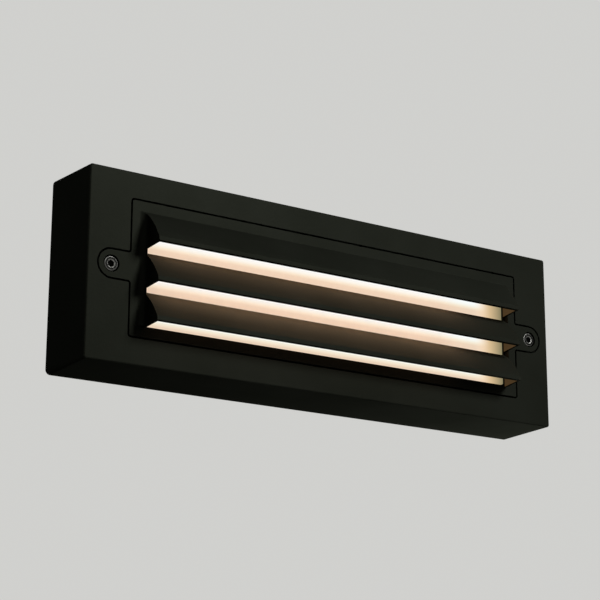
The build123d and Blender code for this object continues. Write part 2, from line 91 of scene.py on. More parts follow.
# %% Helpers for colours and nodes
def linear(code):
    """Linear RGBA of a hex colour: the sRGB curve undone channel by channel."""
    channels = np.array([int(code[i:i + 2], 16) for i in (1, 3, 5)]) / 255
    straight = np.where(channels <= 0.04045, channels / 12.92, ((channels + 0.055) / 1.055) ** 2.4)
    return (*straight.tolist(), 1.0)


def put(tree, kind, sockets=None, stops=(), **fields):
    """Add a node: fields are its own settings, sockets its inputs, stops the places and colours of its ramp.

    An input takes a plain value, or the output of another node, which is then linked to it.
    A new ramp already has two stops, so only the further ones are added.
    """
    node = tree.nodes.new(kind)
    for field, value in fields.items():
        setattr(node, field, value)
    for socket, value in (sockets or {}).items():
        if isinstance(value, bpy.types.NodeSocket):
            tree.links.new(value, node.inputs[socket])
        else:
            node.inputs[socket].default_value = value
    for _ in stops[2:]:
        node.color_ramp.elements.new(1.0)
    for index, (position, code) in enumerate(stops):
        node.color_ramp.elements[index].position = position
        node.color_ramp.elements[index].color = linear(code)
    return node


def finish(name, **sockets):
    """A material with one Principled shader; the sockets given here are the same all over the surface."""
    material = bpy.data.materials.new(name)
    material.use_nodes = True
    tree = material.node_tree
    tree.nodes.clear()
    named = {socket.replace("_", " "): value for socket, value in sockets.items()}
    shader = put(tree, "ShaderNodeBsdfPrincipled", named)
    put(tree, "ShaderNodeOutputMaterial", {"Surface": shader.outputs["BSDF"]})
    place = put(tree, "ShaderNodeTexCoord").outputs["Object"]
    return material, tree, shader, place


def per_metre(millimetres):
    """Noise scale that gives features of about this size, since object coordinates are in metres."""
    return 1000 / millimetres


def dress(material, *nodes):
    """Give the CAD nodes a finish through their own material slots."""
    for node in nodes:
        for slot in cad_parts[node].material_slots:
            slot.material = material
    print(material.name, "on", ", ".join(nodes))


print("#808080 is", round(linear("#808080")[0], 3), "in linear light")


# %% [markdown]
# The stage is a pale floor far below the light, a pale world and soft lamps. Floor and world show their
# pale colour to the camera and in reflections, but light the object only weakly, so that the sides away
# from the lamps stay dark. A picture of a sky could light the scene instead, but plain lamps are easier to
# place.

# %% Floor and world
WORLD_SEEN, WORLD_LIGHT = 0.72, 0.045
FLOOR_SEEN, FLOOR_LIGHT = 0.78, 0.0
FLOOR_LEVEL, FLOOR_HALF, FLOOR_LINES = -1.2, 12.0, 9


def seen_strength(tree, seen, light):
    """One strength for camera, glossy and transmission rays, another for the rays that light the object."""
    rays = put(tree, "ShaderNodeLightPath")
    shown = rays.outputs["Is Camera Ray"]
    for ray in ("Is Glossy Ray", "Is Transmission Ray"):
        shown = put(tree, "ShaderNodeMath", {0: shown, 1: rays.outputs[ray]}, operation="MAXIMUM").outputs[0]
    return put(tree, "ShaderNodeMapRange", {"Value": shown, "To Min": light, "To Max": seen}).outputs[0]


def pale_world(seen, light):
    """World of one pale grey, as strong as given for what is seen and for what is lit."""
    world = bpy.data.worlds.new("studio")
    world.use_nodes = True
    tree = world.node_tree
    tree.nodes.clear()
    strength = seen_strength(tree, seen, light)
    sky = put(tree, "ShaderNodeBackground", {"Color": linear("#F1F1EE"), "Strength": strength})
    put(tree, "ShaderNodeOutputWorld", {"Surface": sky.outputs[0]})
    return world


def surface(name, points, faces, smooth=True):
    """A mesh object at the origin from an array of points in metres and a list of faces."""
    mesh = bpy.data.meshes.new(name)
    mesh.from_pydata(points.reshape(-1, 3).tolist(), [], faces)
    mesh.polygons.foreach_set("use_smooth", np.full(len(mesh.polygons), smooth))
    piece = bpy.data.objects.new(name, mesh)
    scene.collection.objects.link(piece)
    return piece


def pale_floor(level, half, lines):
    """Level sheet: a grid of two straight parameters, far larger than any view."""
    across = np.linspace(-half, half, lines)
    x, y = np.meshgrid(across, across)
    points = np.stack([x, y, np.full_like(x, level)], axis=-1)
    index = np.arange(lines * lines).reshape(lines, lines)
    corners = [index[:-1, :-1], index[:-1, 1:], index[1:, 1:], index[1:, :-1]]
    return surface("floor", points, np.stack(corners, axis=-1).reshape(-1, 4).tolist(), smooth=False)


def floor_plaster():
    """Matt plaster in two close greys that drift over about 600 mm, shown at its own pale strength."""
    material, tree, shader, place = finish("pale_floor_plaster", Roughness=0.9)
    cloud = put(tree, "ShaderNodeTexNoise", {"Vector": place, "Scale": per_metre(600), "Detail": 3.0})
    drift = {"Fac": cloud.outputs["Fac"]}
    shade = put(tree, "ShaderNodeValToRGB", drift, stops=((0.3, "#8E8D8A"), (0.7, "#92918E")))
    glow = put(tree, "ShaderNodeValToRGB", drift, stops=((0.3, "#DFDEDB"), (0.7, "#E2E1DE")))
    tree.links.new(shade.outputs["Color"], shader.inputs["Base Color"])
    tree.links.new(glow.outputs["Color"], shader.inputs["Emission Color"])
    tree.links.new(seen_strength(tree, FLOOR_SEEN, FLOOR_LIGHT), shader.inputs["Emission Strength"])
    return material


scene.world = pale_world(WORLD_SEEN, WORLD_LIGHT)
floor = pale_floor(FLOOR_LEVEL, FLOOR_HALF, FLOOR_LINES)
floor.data.materials.append(floor_plaster())
print("floor at", round(floor.data.vertices[0].co.z, 3))


# %% [markdown]
# Four soft lamps. The key stands above on the right, where the satin front mirrors its blurred edge to the
# camera, so the front dims from the upper left to the lower right, the left side stays dark and every hood
# shades what lies left of it. A weak one close below the right end lights the underside, which dims
# towards the left, one behind keeps the back readable, and a faint one from behind on the left draws the
# edge of the dark left side.

# %% Soft lamps
STUDIO_LAMPS = (
    # name, place, target, width, height, watts
    ("key_softbox", (0.34, -0.78, 0.43), (0, -0.03, 0), 0.28, 0.28, 5.2),
    ("underside_fill", (0.26, 0.06, -0.15), (0.10, 0, -0.04), 0.14, 0.14, 0.6),
    ("back_softbox", (0.22, 0.60, 0.36), (0, 0, 0), 0.4, 0.3, 5.0),
    ("left_rim_light", (-0.80, 0.25, 0.30), (-0.1, 0, 0), 0.3, 0.3, 0.45),
)


def soft_lamp(name, place, target, width, height, watts, code="#FFFFFF"):
    """A rectangle of light at a place, turned to face a target, not seen by the camera itself."""
    data = bpy.data.lights.new(name, "AREA")
    data.shape = "RECTANGLE"
    data.size = width
    data.size_y = height
    data.energy = watts
    data.color = linear(code)[:3]
    lamp = bpy.data.objects.new(name, data)
    aim = (Vector(target) - Vector(place)).to_track_quat("-Z", "Y").to_matrix().to_4x4()
    lamp.matrix_world = Matrix.Translation(place) @ aim
    lamp.visible_camera = False
    scene.collection.objects.link(lamp)
    return lamp


for lamp_facts in STUDIO_LAMPS:
    soft_lamp(*lamp_facts)
print([lamp.name for lamp in bpy.data.lights])


# %% [markdown]
# The box and the louvre plate are aluminium pressure castings under black powder coat. The powder carries
# a little metal flake and melts into a dull, faintly pebbled skin with a green-grey cast. A single dark
# colour would look like a hole in the picture, so the colour drifts a little, and fine noise pebbles the
# surface. The flake is a small metallic share with dark edges; a clear gloss instead would turn the sides
# pale where they are seen at a slant. The walls that close the slots at their right ends catch the panel's
# light from along the slot. Lamps that small would leave grain in the picture, so that light is painted on
# those few faces as a faint brown glow of their own.

# %% Powder-coated casting
SLOT_END, END_LEAN, PLATE_FACE = 105.25 * MM, tan(radians(3.5)), -35 * MM
WALL_TOLERANCE, FOOT_MARGIN = 0.01 * MM, 0.2 * MM


def painted_slot_end_light(tree, place):
    """Painted panel light: brown on the leaning walls x - lean (y - plate) = slot end before the plate; else
    black.
    """
    wall = SLOT_END - END_LEAN * PLATE_FACE
    front = PLATE_FACE - FOOT_MARGIN
    lean = put(tree, "ShaderNodeVectorMath", {0: place, 1: (1.0, -END_LEAN, 0.0)}, operation="DOT_PRODUCT")
    spot = put(tree, "ShaderNodeSeparateXYZ", {0: place})
    distance = {0: lean.outputs["Value"], 1: wall, 2: WALL_TOLERANCE}
    near = put(tree, "ShaderNodeMath", distance, operation="COMPARE")
    proud = put(tree, "ShaderNodeMath", {0: spot.outputs["Y"], 1: front}, operation="LESS_THAN")
    both = put(tree, "ShaderNodeMath", {0: near.outputs[0], 1: proud.outputs[0]}, operation="MULTIPLY")
    stops = ((0.4, "#000000"), (0.6, "#46341F"))
    return put(tree, "ShaderNodeValToRGB", {"Fac": both.outputs[0]}, stops=stops).outputs["Color"]


def powder_coat():
    """Dull polyester powder: two close darks mixed by slow noise, and a pebble of 1.2 mm, wider than real."""
    material, tree, shader, place = finish(
        "powder_coated_aluminium", Metallic=0.09, IOR=1.5, Specular_IOR_Level=0.0,
        Specular_Tint=linear("#303030"), Emission_Strength=1.0)
    drift = put(tree, "ShaderNodeTexNoise", {"Vector": place, "Scale": per_metre(45), "Detail": 4.0})
    tones = ((0.3, "#23251F"), (0.7, "#292B25"))
    tone = put(tree, "ShaderNodeValToRGB", {"Fac": drift.outputs["Fac"]}, stops=tones)
    pebble = put(tree, "ShaderNodeTexNoise", {"Vector": place, "Scale": per_metre(1.2), "Detail": 2.0})
    height = pebble.outputs["Fac"]
    dull = put(tree, "ShaderNodeMapRange", {"Value": height, "To Min": 0.34, "To Max": 0.42})
    skin = put(tree, "ShaderNodeBump", {"Height": height, "Strength": 0.12, "Distance": 0.3 * MM})
    tree.links.new(tone.outputs["Color"], shader.inputs["Base Color"])
    tree.links.new(dull.outputs[0], shader.inputs["Roughness"])
    tree.links.new(skin.outputs[0], shader.inputs["Normal"])
    # The panel's light on the slot end walls, painted as a faint brown emission.
    tree.links.new(painted_slot_end_light(tree, place), shader.inputs["Emission Color"])
    return material


dress(powder_coat(), "housing", "louvre_front")


# %% [markdown]
# The opal panel behind the hoods is acrylic with a white filler, lit from behind. Each hood shades its own
# band of the panel, so every band is white up under the hood and turns to warm peach at the bottom. The
# last light sources stop short of the plug at the right end, so there the panel fades through cream to
# tan. The glow is an emission colour that repeats with the spacing of the hoods; light that really
# scattered inside the panel would take far longer to render. The lamps of the next step also light the
# panel, each in its own band and up to their right ends, so that share is taken off the glow.

# %% Opal panel
HOOD_PITCH, FIRST_ROOT = 18.4 * MM, 25.95 * MM
SILL_LIFT, LOWEST_BAND = 1.1 * MM, -17 * MM
FADE_LENGTH, FADE_END, DUSK_SHARE = 20 * MM, 105 * MM, 0.6
FULL_GLOW, SPILL_SHARES = 1.12, (0.12, 0.20, 0.02)
SPILL_FADES, SPILL_ENDS = 64 * MM, 78 * MM


def evened_glow(tree, split):
    """Full glow less the share that each band's spill lamp adds, until the lamps fade out at the right."""
    added = 0.0
    for band, share in enumerate(SPILL_SHARES):
        middle = FIRST_ROOT - (band + 0.5) * HOOD_PITCH
        reach = {0: split.outputs["Z"], 1: middle, 2: HOOD_PITCH / 2}
        inside = put(tree, "ShaderNodeMath", reach, operation="COMPARE").outputs[0]
        term = {0: inside, 1: share, 2: added}
        added = put(tree, "ShaderNodeMath", term, operation="MULTIPLY_ADD").outputs[0]
    reached = put(tree, "ShaderNodeMapRange", {
        "Value": split.outputs["X"], "From Min": SPILL_FADES, "From Max": SPILL_ENDS,
        "To Min": 1.0, "To Max": 0.0})
    taken = put(tree, "ShaderNodeMath", {0: added, 1: reached.outputs[0]}, operation="MULTIPLY")
    return put(tree, "ShaderNodeMath", {0: FULL_GLOW, 1: taken.outputs[0]}, operation="SUBTRACT").outputs[0]


def band_colour(tree, split):
    """Colour by the height above the next hood's root, or above the sill, as a share of the hood spacing."""
    lowest = put(tree, "ShaderNodeMath", {0: split.outputs["Z"], 1: LOWEST_BAND}, operation="LESS_THAN")
    lift = {0: lowest.outputs[0], 1: SILL_LIFT, 2: FIRST_ROOT}
    root = put(tree, "ShaderNodeMath", lift, operation="MULTIPLY_ADD")
    steps = put(tree, "ShaderNodeMath", {0: split.outputs["Z"], 1: root.outputs[0]}, operation="SUBTRACT")
    share = put(tree, "ShaderNodeMath", {0: steps.outputs[0], 1: HOOD_PITCH}, operation="DIVIDE")
    phase = put(tree, "ShaderNodeMath", {0: share.outputs[0]}, operation="FRACT")
    stops = ((0.0, "#E8D2B8"), (0.04, "#E0C8B1"), (0.14, "#E0CAB2"),
             (0.205, "#E8DDC7"), (0.27, "#EAEBE2"), (0.34, "#EDF2F2"))
    return put(tree, "ShaderNodeValToRGB", {"Fac": phase.outputs[0]}, stops=stops).outputs["Color"]


def opal_panel():
    """The bands' colour, mixed into the dusk at the right end by a smooth step, times the evened glow."""
    material, tree, shader, place = finish("opal_acrylic", IOR=1.49, Roughness=0.35, Emission_Strength=1.0)
    split = put(tree, "ShaderNodeSeparateXYZ", {0: place})
    fade = put(tree, "ShaderNodeMapRange", {
        "Value": split.outputs["X"], "From Min": FADE_END - FADE_LENGTH, "From Max": FADE_END}).outputs[0]
    stops = ((0.0, "#F6E6CD"), (0.3, "#EBCFAE"), (0.6, "#CBB189"), (1.0, "#7C7659"))
    dusk = put(tree, "ShaderNodeValToRGB", {"Fac": fade}, stops=stops)
    steep = {"Value": fade, "From Max": DUSK_SHARE}
    onset = put(tree, "ShaderNodeMapRange", steep, interpolation_type="SMOOTHSTEP")
    # Of a mix node's sockets, 0 is the share, 6 and 7 are the two colours, and output 2 is the mixed colour.
    blend = {0: onset.outputs[0], 6: band_colour(tree, split), 7: dusk.outputs["Color"]}
    glow = put(tree, "ShaderNodeMix", blend, data_type="RGBA").outputs[2]
    scaled = {0: glow, "Scale": evened_glow(tree, split)}
    evened = put(tree, "ShaderNodeVectorMath", scaled, operation="SCALE")
    filler = put(tree, "ShaderNodeTexNoise", {"Vector": place, "Scale": per_metre(2.5), "Detail": 2.0})
    greys = ((0.35, "#504D47"), (0.65, "#57544D"))
    white = put(tree, "ShaderNodeValToRGB", {"Fac": filler.outputs["Fac"]}, stops=greys)
    tree.links.new(white.outputs["Color"], shader.inputs["Base Color"])
    tree.links.new(evened.outputs[0], shader.inputs["Emission Color"])
    return material


dress(opal_panel(), "diffuser")


# %% [markdown]
# The panel also throws its warm light down onto the hood below it, which is what makes the hoods look
# brown. An emissive mesh bright enough for that would burn out to plain white, so three thin warm lamps
# under the hoods give the spill. They ride on the front cover and come off with it. The lowest is faint,
# as no hood lies below it.

# %% Warm spill under the hoods
SPILL_MIDDLE, SPILL_LENGTH, SPILL_WIDTH = -15.5 * MM, 175 * MM, 3 * MM
SPILL_RISE, SPILL_OUT = 11.5 * MM, 4.0 * MM
SPILL_WATTS, SPILL_COLOUR = (0.10, 0.145, 0.015), "#FFC4A8"
panel_low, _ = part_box("diffuser")


def hood_spill(index, watts):
    """Long lamp under one hood, facing outward and down onto the next."""
    level = FIRST_ROOT - (index + 1) * HOOD_PITCH + SPILL_RISE
    spot = Vector((SPILL_MIDDLE, panel_low.y - SPILL_OUT, level))
    outward_down = spot + Vector((0, -1, -1))
    name = f"hood_spill_{index + 1}"
    lamp = soft_lamp(name, spot, outward_down, SPILL_LENGTH, SPILL_WIDTH, watts, SPILL_COLOUR)
    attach(lamp, "front_cover")


for index, watts in enumerate(SPILL_WATTS):
    hood_spill(index, watts)
print([lamp.name for lamp in bpy.data.lights if "spill" in lamp.name])


# %% [markdown]
# Small metal: zinc-plated steel for the service screws, black oxide for the two front screws, stainless
# for their washers, brass clamps and a tinned copper lug. Each metal is one colour with cloudy roughness,
# because on real metal the eye reads the finish from how the reflection breaks up.

# %% Metals
def plated(name, dark, light, size, smooth, rough):
    """Metal whose tint and roughness both wander with one noise of about this size in millimetres."""
    material, tree, shader, place = finish(name, Metallic=1.0)
    noise = put(tree, "ShaderNodeTexNoise", {"Vector": place, "Scale": per_metre(size), "Detail": 3.0})
    cloud = noise.outputs["Fac"]
    tint = put(tree, "ShaderNodeValToRGB", {"Fac": cloud}, stops=((0.3, dark), (0.7, light)))
    blur = put(tree, "ShaderNodeMapRange", {"Value": cloud, "To Min": smooth, "To Max": rough})
    tree.links.new(tint.outputs["Color"], shader.inputs["Base Color"])
    tree.links.new(blur.outputs[0], shader.inputs["Roughness"])
    return material


zinc = plated("zinc_plated_steel", "#B4B6B8", "#CFCFCB", size=1.5, smooth=0.22, rough=0.42)
black_oxide = plated("black_oxide_steel", "#0F0F0E", "#171716", size=0.8, smooth=0.4, rough=0.55)
# Lighter steel for the front screws' socket mouths and head rims: their wear and a painted highlight.
worn_and_highlight_steel = plated("rubbed_edge_and_painted_highlight", "#5C5C59", "#6E6E6A", size=0.8, smooth=0.35, rough=0.5)
stainless = plated("stainless_washer", "#A9A8A4", "#C2C1BD", size=1.0, smooth=0.25, rough=0.4)
brass = plated("brass_clamp", "#B08D4A", "#CDAA62", size=2.0, smooth=0.25, rough=0.45)
tinned = plated("tinned_copper", "#A8A49B", "#C9C6BE", size=1.2, smooth=0.2, rough=0.38)
dress(stainless, "screw_washer_left", "screw_washer_right")
dress(zinc, "earth_cup_washer")
dress(brass, "terminal_clamps")
dress(tinned, "earth_lug")


# %% [markdown]
# Rubbers, plastics and boards are all moulded or coated, so they share one recipe: a base colour that
# varies slightly, a moulding texture of a given grain, and the roughness of the real stuff. A table lists
# them.

# %% Moulded and coated finishes
MOULDINGS = (
    # name, dark and light tone, grain in millimetres, roughness, bump, IOR, the nodes that are made of it
    ("silicone_rubber", "#2B2B2A", "#343433", 1.6, 0.6, 0.08, 1.41, ["front_gasket"]),
    ("moulded_rubber", "#1F1F1F", "#282827", 1.2, 0.65, 0.12, 1.52, ["cable_grommet", "tray_bush"]),
    ("white_enamelled_steel", "#E6E5E0", "#EEEDE9", 3.0, 0.32, 0.04, 1.5, ["gear_tray"]),
    ("graphite_silicone_pad", "#8E9297", "#9EA2A6", 0.8, 0.75, 0.15, 1.41, ["heat_pad"]),
    ("white_solder_mask", "#E8E8E4", "#F1F1EE", 2.0, 0.35, 0.03, 1.5, ["led_board"]),
    ("moulded_nylon", "#DAD6C9", "#E4E0D4", 1.4, 0.5, 0.08, 1.53, ["led_plug", "terminal_body"]),
    ("polycarbonate_case", "#D3D3CF", "#DEDEDA", 0.7, 0.55, 0.15, 1.58, ["driver_case", "driver_lid"]),
    ("glass_epoxy_board", "#1F5C35", "#2A6B40", 0.9, 0.4, 0.06, 1.5, ["driver_circuit"]),
    ("component_sleeve", "#26262A", "#303036", 1.0, 0.4, 0.06, 1.5, ["driver_components"]),
)


def moulded(name, dark, light, grain, rough, bump, ior):
    """Two close tones mixed by noise of the grain size in millimetres, which also raises a faint texture."""
    material, tree, shader, place = finish(name, IOR=ior, Roughness=rough)
    noise = put(tree, "ShaderNodeTexNoise", {"Vector": place, "Scale": per_metre(grain), "Detail": 3.0})
    height = noise.outputs["Fac"]
    tint = put(tree, "ShaderNodeValToRGB", {"Fac": height}, stops=((0.3, dark), (0.7, light)))
    relief = put(tree, "ShaderNodeBump", {"Height": height, "Strength": bump, "Distance": 0.2 * MM})
    tree.links.new(tint.outputs["Color"], shader.inputs["Base Color"])
    tree.links.new(relief.outputs[0], shader.inputs["Normal"])
    return material


for *recipe, nodes in MOULDINGS:
    dress(moulded(*recipe), *nodes)


# %% [markdown]
# The leads are copper in PVC. The sleeve is smooth and slightly shiny with a soft drift in colour. The
# earth lead is green with slanted yellow bands, made from a sawtooth along a slanted direction; a stripe
# wound exactly round the lead would need a map of its surface.

# %% Lead insulation
PVC = {"grain": 2.0, "rough": 0.38, "bump": 0.03, "ior": 1.54}
BAND_SPACING, BAND_SLANT = 5 * MM, 0.9
SLEEVES = (
    # name, dark and light tone, the lead that wears it
    ("brown_pvc", "#5A301C", "#663822", "live_lead"),
    ("blue_pvc", "#24539B", "#2C5FAC", "neutral_lead"),
    ("red_pvc", "#A51F1B", "#B52823", "led_lead_positive"),
    ("black_pvc", "#1C1C1D", "#262627", "led_lead_negative"),
)


def striped_pvc():
    """Green sleeve with yellow bands 5 mm apart, slanted across the lead."""
    material, tree, shader, place = finish("green_yellow_pvc", IOR=PVC["ior"], Roughness=PVC["rough"])
    slant = put(tree, "ShaderNodeVectorMath", {0: place, 1: (1.0, 0.0, -BAND_SLANT)}, operation="DOT_PRODUCT")
    turns = put(tree, "ShaderNodeMath", {0: slant.outputs["Value"], 1: BAND_SPACING}, operation="DIVIDE")
    phase = put(tree, "ShaderNodeMath", {0: turns.outputs[0]}, operation="FRACT")
    stops = ((0.0, "#2F7D32"), (0.6, "#338437"), (0.64, "#E2C62B"), (0.97, "#DDBF24"))
    band = put(tree, "ShaderNodeValToRGB", {"Fac": phase.outputs[0]}, stops=stops)
    tree.links.new(band.outputs["Color"], shader.inputs["Base Color"])
    return material


for name, dark, light, lead in SLEEVES:
    dress(moulded(name, dark, light, **PVC), lead)
dress(striped_pvc(), "earth_lead")


# %% [markdown]
# New pieces are stacks of rings: closed outlines at a series of levels, joined by quads, with a point
# closing each end. One ring can be a circle, a hexagon, a cross or a rounded rectangle, so the same
# function makes screws and emitters. Booleans could cut the sockets instead, but they leave untidy faces
# where the shape is only a few millimetres wide.

# %% Stack of rings
SHARP_EDGE = radians(32)


def stack_of_rings(name, rings, places, band_of_row=None):
    """Joins rings[row, angle] = (x, level, z), listed from the top middle out and down, at each place (x, z).

    A level is a height above the wall side, so y is its negative. band_of_row gives the material of each row.
    """
    rows, angles = rings.shape[:2]
    ends = np.stack([rings[0].mean(axis=0), rings[-1].mean(axis=0)])
    local = np.concatenate([rings.reshape(-1, 3), ends])
    shift = np.stack([places[:, 0], np.zeros(len(places)), places[:, 1]], axis=-1)
    points = local[None] + shift[:, None]
    points[..., 1] *= -1
    index = np.arange(rows * angles).reshape(rows, angles)
    after = np.roll(index, -1, axis=1)
    quads = np.stack([index[:-1], index[1:], after[1:], after[:-1]], axis=-1).reshape(-1, 4)
    first, last = rows * angles, rows * angles + 1
    top = np.stack([np.full(angles, first), index[0], after[0]], axis=-1)
    bottom = np.stack([index[-1], np.full(angles, last), after[-1]], axis=-1)
    step = (np.arange(len(places)) * len(local))[:, None, None]
    faces = [(part[None] + step).reshape(-1, part.shape[1]).tolist() for part in (quads, top, bottom)]
    piece = surface(name, points * MM, sum(faces, []))
    piece.data.set_sharp_from_angle(angle=SHARP_EDGE)
    if band_of_row is not None:
        in_order = [np.repeat(band_of_row[1:], angles), np.repeat(band_of_row[:1], angles),
                    np.repeat(band_of_row[-1:], angles)]
        bands = np.concatenate([np.tile(part, len(places)) for part in in_order])
        piece.data.polygons.foreach_set("material_index", bands.astype(np.int32))
    print(name, "with", len(piece.data.polygons), "faces at", len(places), "places")
    return piece


def even_places(node, length, width, columns, rows):
    """Even grid of places (x, z) in millimetres, where pieces of this size just fill the node's box."""
    low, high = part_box(node)
    x = np.linspace(low.x / MM + length / 2, high.x / MM - length / 2, columns)
    z = np.linspace(low.z / MM + width / 2, high.z / MM - width / 2, rows)
    return np.stack(np.meshgrid(x, z), axis=-1).reshape(-1, 2)


chip_corners = even_places("led_chips", 0, 0, 2, 2)
print("the light sources fill", np.ptp(chip_corners, axis=0).round(1).tolist(), "mm")


# %% [markdown]
# A screw is turned and rolled on the real thing, and here it is one profile carried round its axis: down
# into the drive, up its walls, over the head, and along a rolled thread to the tip. The drive outline is a
# hexagon for the two front screws and a cross for the small ones, so the rings blend from that outline to
# a circle.

# %% Screw profile
CROSS_HALF_ANGLE = 0.32
QUARTER = np.concatenate([np.linspace(0, CROSS_HALF_ANGLE, 3), np.linspace(CROSS_HALF_ANGLE, pi / 4, 4)[1:]])
EIGHTHS = np.concatenate([QUARTER, pi / 2 - QUARTER[-2:0:-1]])
CROSS_ANGLES = (np.arange(4)[:, None] * pi / 2 + EIGHTHS[None]).ravel()
HEX_ANGLES = np.arange(48) * pi / 24
FLOOR_ROWS, FACE_ROWS, RIM_ROWS, ROWS_PER_TURN = 3, 4, 5, 6
FLOOR_SHARE, WALL_SHARE, FLOOR_RISE = 0.45, 0.9, 0.15
CORNER_SHARE, CORNER_LIMIT, TIP_SHARE = 0.22, 0.5, 0.34
THREAD_DEPTH, FLANK_SLOPE, CREST_WIDTH = 0.3, 1.6, 0.3


def hexagon(flats):
    """Radius of a hexagon at each angle: half the flats over the cosine of the angle to the nearest flat."""
    away = (HEX_ANGLES + pi / 6) % (pi / 3) - pi / 6
    return flats / 2 / np.cos(away)


def cross(arm):
    """Radius of a plus sign: the arm's end near an axis, and beyond the half angle the arm's side."""
    away = np.abs((CROSS_ANGLES + pi / 4) % (pi / 2) - pi / 4)
    side = arm * np.tan(CROSS_HALF_ANGLE)
    return np.minimum(arm / np.cos(away), side / np.maximum(np.sin(away), 1e-6))


def screw_rings(angles, drive, drive_depth, mouth, head, head_height, dome, thread, pitch, top, tip):
    """Rings of a screw: drive floor, wall and countersunk mouth, domed head, seat and a thread along a helix.

    The head bulges by dome (1 - (r / R)^2) and ends in a quarter round. The thread's groove is a clipped
    triangle wave of the level over the pitch plus the angle over a full turn.
    """
    rim = np.linspace(0, pi / 2, RIM_ROWS + 1)[1:]
    corner = min(CORNER_SHARE * head_height, CORNER_LIMIT)
    round_ring = np.ones_like(drive)
    face = np.linspace(mouth, head / 2 - corner, FACE_ROWS)
    bulge = dome * (1 - (face / (head / 2)) ** 2)
    base, seat, edge = top - drive_depth, top - head_height, head / 2 - corner
    rows = [(FLOOR_SHARE * drive, base),
            (WALL_SHARE * drive, base + FLOOR_RISE * head_height),
            (drive, top - (mouth - drive.mean()) / 2)]
    rows += [(round_ring * r, top - dome + b) for r, b in zip(face, bulge)]
    rows += [(round_ring * (edge + corner * np.sin(a)), top - dome - corner * (1 - np.cos(a))) for a in rim]
    rows += [(round_ring * head / 2, seat), (round_ring * thread / 2, seat)]
    levels = np.arange(seat - pitch / 2, tip + pitch / 2, -pitch / ROWS_PER_TURN)
    turn = (levels[:, None] / pitch + angles[None] / (2 * pi)) % 1
    groove = THREAD_DEPTH * pitch * np.clip(FLANK_SLOPE * np.abs(2 * turn - 1) - CREST_WIDTH, 0, 1)
    rows += list(zip(thread / 2 - groove, levels))
    rows += [(round_ring * TIP_SHARE * thread, tip)]
    radius = np.array([row[0] for row in rows])
    level = np.array([row[1] for row in rows])[:, None] + np.zeros_like(radius)
    return np.stack([radius * np.cos(angles), level, radius * np.sin(angles)], axis=-1)


print(len(HEX_ANGLES), "angles round a hexagon and", len(CROSS_ANGLES), "round a cross")


# %% [markdown]
# The small screws take the place of the plain ones of the solid model, each level with its box, so nothing
# else has to move. They share a few sizes, as bought screws do. The two front screws turn with their own
# bodies. A second, lighter metal on the mouth of the socket and the rim of the head is partly the wear of
# tools and partly a painted highlight, the bright rings that light catches there.

# %% Screws in place
PAN_M3 = {"head": 5.5, "head_height": 2.0, "thread": 3.0, "pitch": 0.5}
PAN_M25 = {"head": 3.6, "head_height": 1.5, "thread": 2.5, "pitch": 0.45}
PAN_M4 = {"head": 7.0, "head_height": 2.6, "thread": 4.0, "pitch": 0.7}
SOCKET_M4 = {"head": 7.0, "head_height": 4.0, "dome": 0.05, "thread": 4.0, "pitch": 0.7}
SOCKET_FLATS, SOCKET_DEPTH, SOCKET_MOUTH = 3.0, 2.2, 2.05
RECESS_ARM, RECESS_DEPTH, RECESS_MOUTH, PAN_DOME = 0.3, 0.62, 1.12, 0.3
DIAGONAL = slice(None, None, 3)
WORN_AND_HIGHLIT_RIM_ROWS = 2


def pan_screws(node, size, columns, rows, pick=slice(None)):
    """Cross-recess screws standing in for one node, level with its box."""
    low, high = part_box(node)
    head, height = size["head"], size["head_height"]
    drive = cross(RECESS_ARM * head)
    rings = screw_rings(CROSS_ANGLES, drive, RECESS_DEPTH * height, RECESS_MOUTH * drive.max(),
                        dome=PAN_DOME * height, top=-low.y / MM, tip=-high.y / MM, **size)
    piece = stack_of_rings(node + "_cut", rings, even_places(node, head, head, columns, rows)[pick])
    piece.data.materials.append(zinc)
    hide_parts(node)
    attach(piece, "body")


def socket_screw(side):
    """M4 front screw of one side: hexagon socket; mouth and head rim worn and a painted highlight."""
    node = "front_screw_" + side
    low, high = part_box(node)
    rings = screw_rings(HEX_ANGLES, hexagon(SOCKET_FLATS), SOCKET_DEPTH, SOCKET_MOUTH,
                        top=-low.y / MM, tip=-high.y / MM, **SOCKET_M4)
    # The socket mouth and head rim rows take the lighter steel: wear and painted highlight.
    worn_and_highlit_rows = np.zeros(len(rings))
    worn_and_highlit_rows[FLOOR_ROWS] = 1
    worn_and_highlit_rows[FLOOR_ROWS + FACE_ROWS:][:WORN_AND_HIGHLIT_RIM_ROWS] = 1
    head = SOCKET_M4["head"]
    piece = stack_of_rings(node + "_cut", rings, even_places(node, head, head, 1, 1), worn_and_highlit_rows)
    piece.data.materials.append(black_oxide)
    piece.data.materials.append(worn_and_highlight_steel)
    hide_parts(node)
    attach(piece, side + "_screw")


for side in ("left", "right"):
    socket_screw(side)
pan_screws("tray_screws", PAN_M3, columns=2, rows=2)
pan_screws("board_screws", PAN_M3, columns=2, rows=2)
pan_screws("terminal_screws", PAN_M3, columns=1, rows=2)
pan_screws("driver_screws", PAN_M3, columns=2, rows=2, pick=DIAGONAL)
pan_screws("clamp_screws", PAN_M25, columns=2, rows=3)
pan_screws("earth_screw", PAN_M4, columns=1, rows=1)


# %% [markdown]
# Each light source on the board is a small white plastic cup filled with yellow phosphor resin. A plain
# yellow block would pass from afar, but with the front lifted off the row of cups is what one looks at, so
# each gets its rim and its slightly domed pool. The rings here are rounded rectangles.

# %% Light sources
CUP_LENGTH, CUP_WIDTH, CUP_COLUMNS, CUP_LINES = 3.5, 2.8, 14, 2
CUP_ANGLES = np.arange(40) * pi / 20
CUP_ROUNDING, POOL_ROWS, PHOSPHOR_GLOW = 6.0, 3, 0.6


def rounded_box_radius(length, width, angles, power):
    """Radius of a superellipse: both reaches to the given power add up to one, which rounds a rectangle."""
    reach = np.abs(np.cos(angles) / (length / 2)) ** power + np.abs(np.sin(angles) / (width / 2)) ** power
    return reach ** (-1 / power)


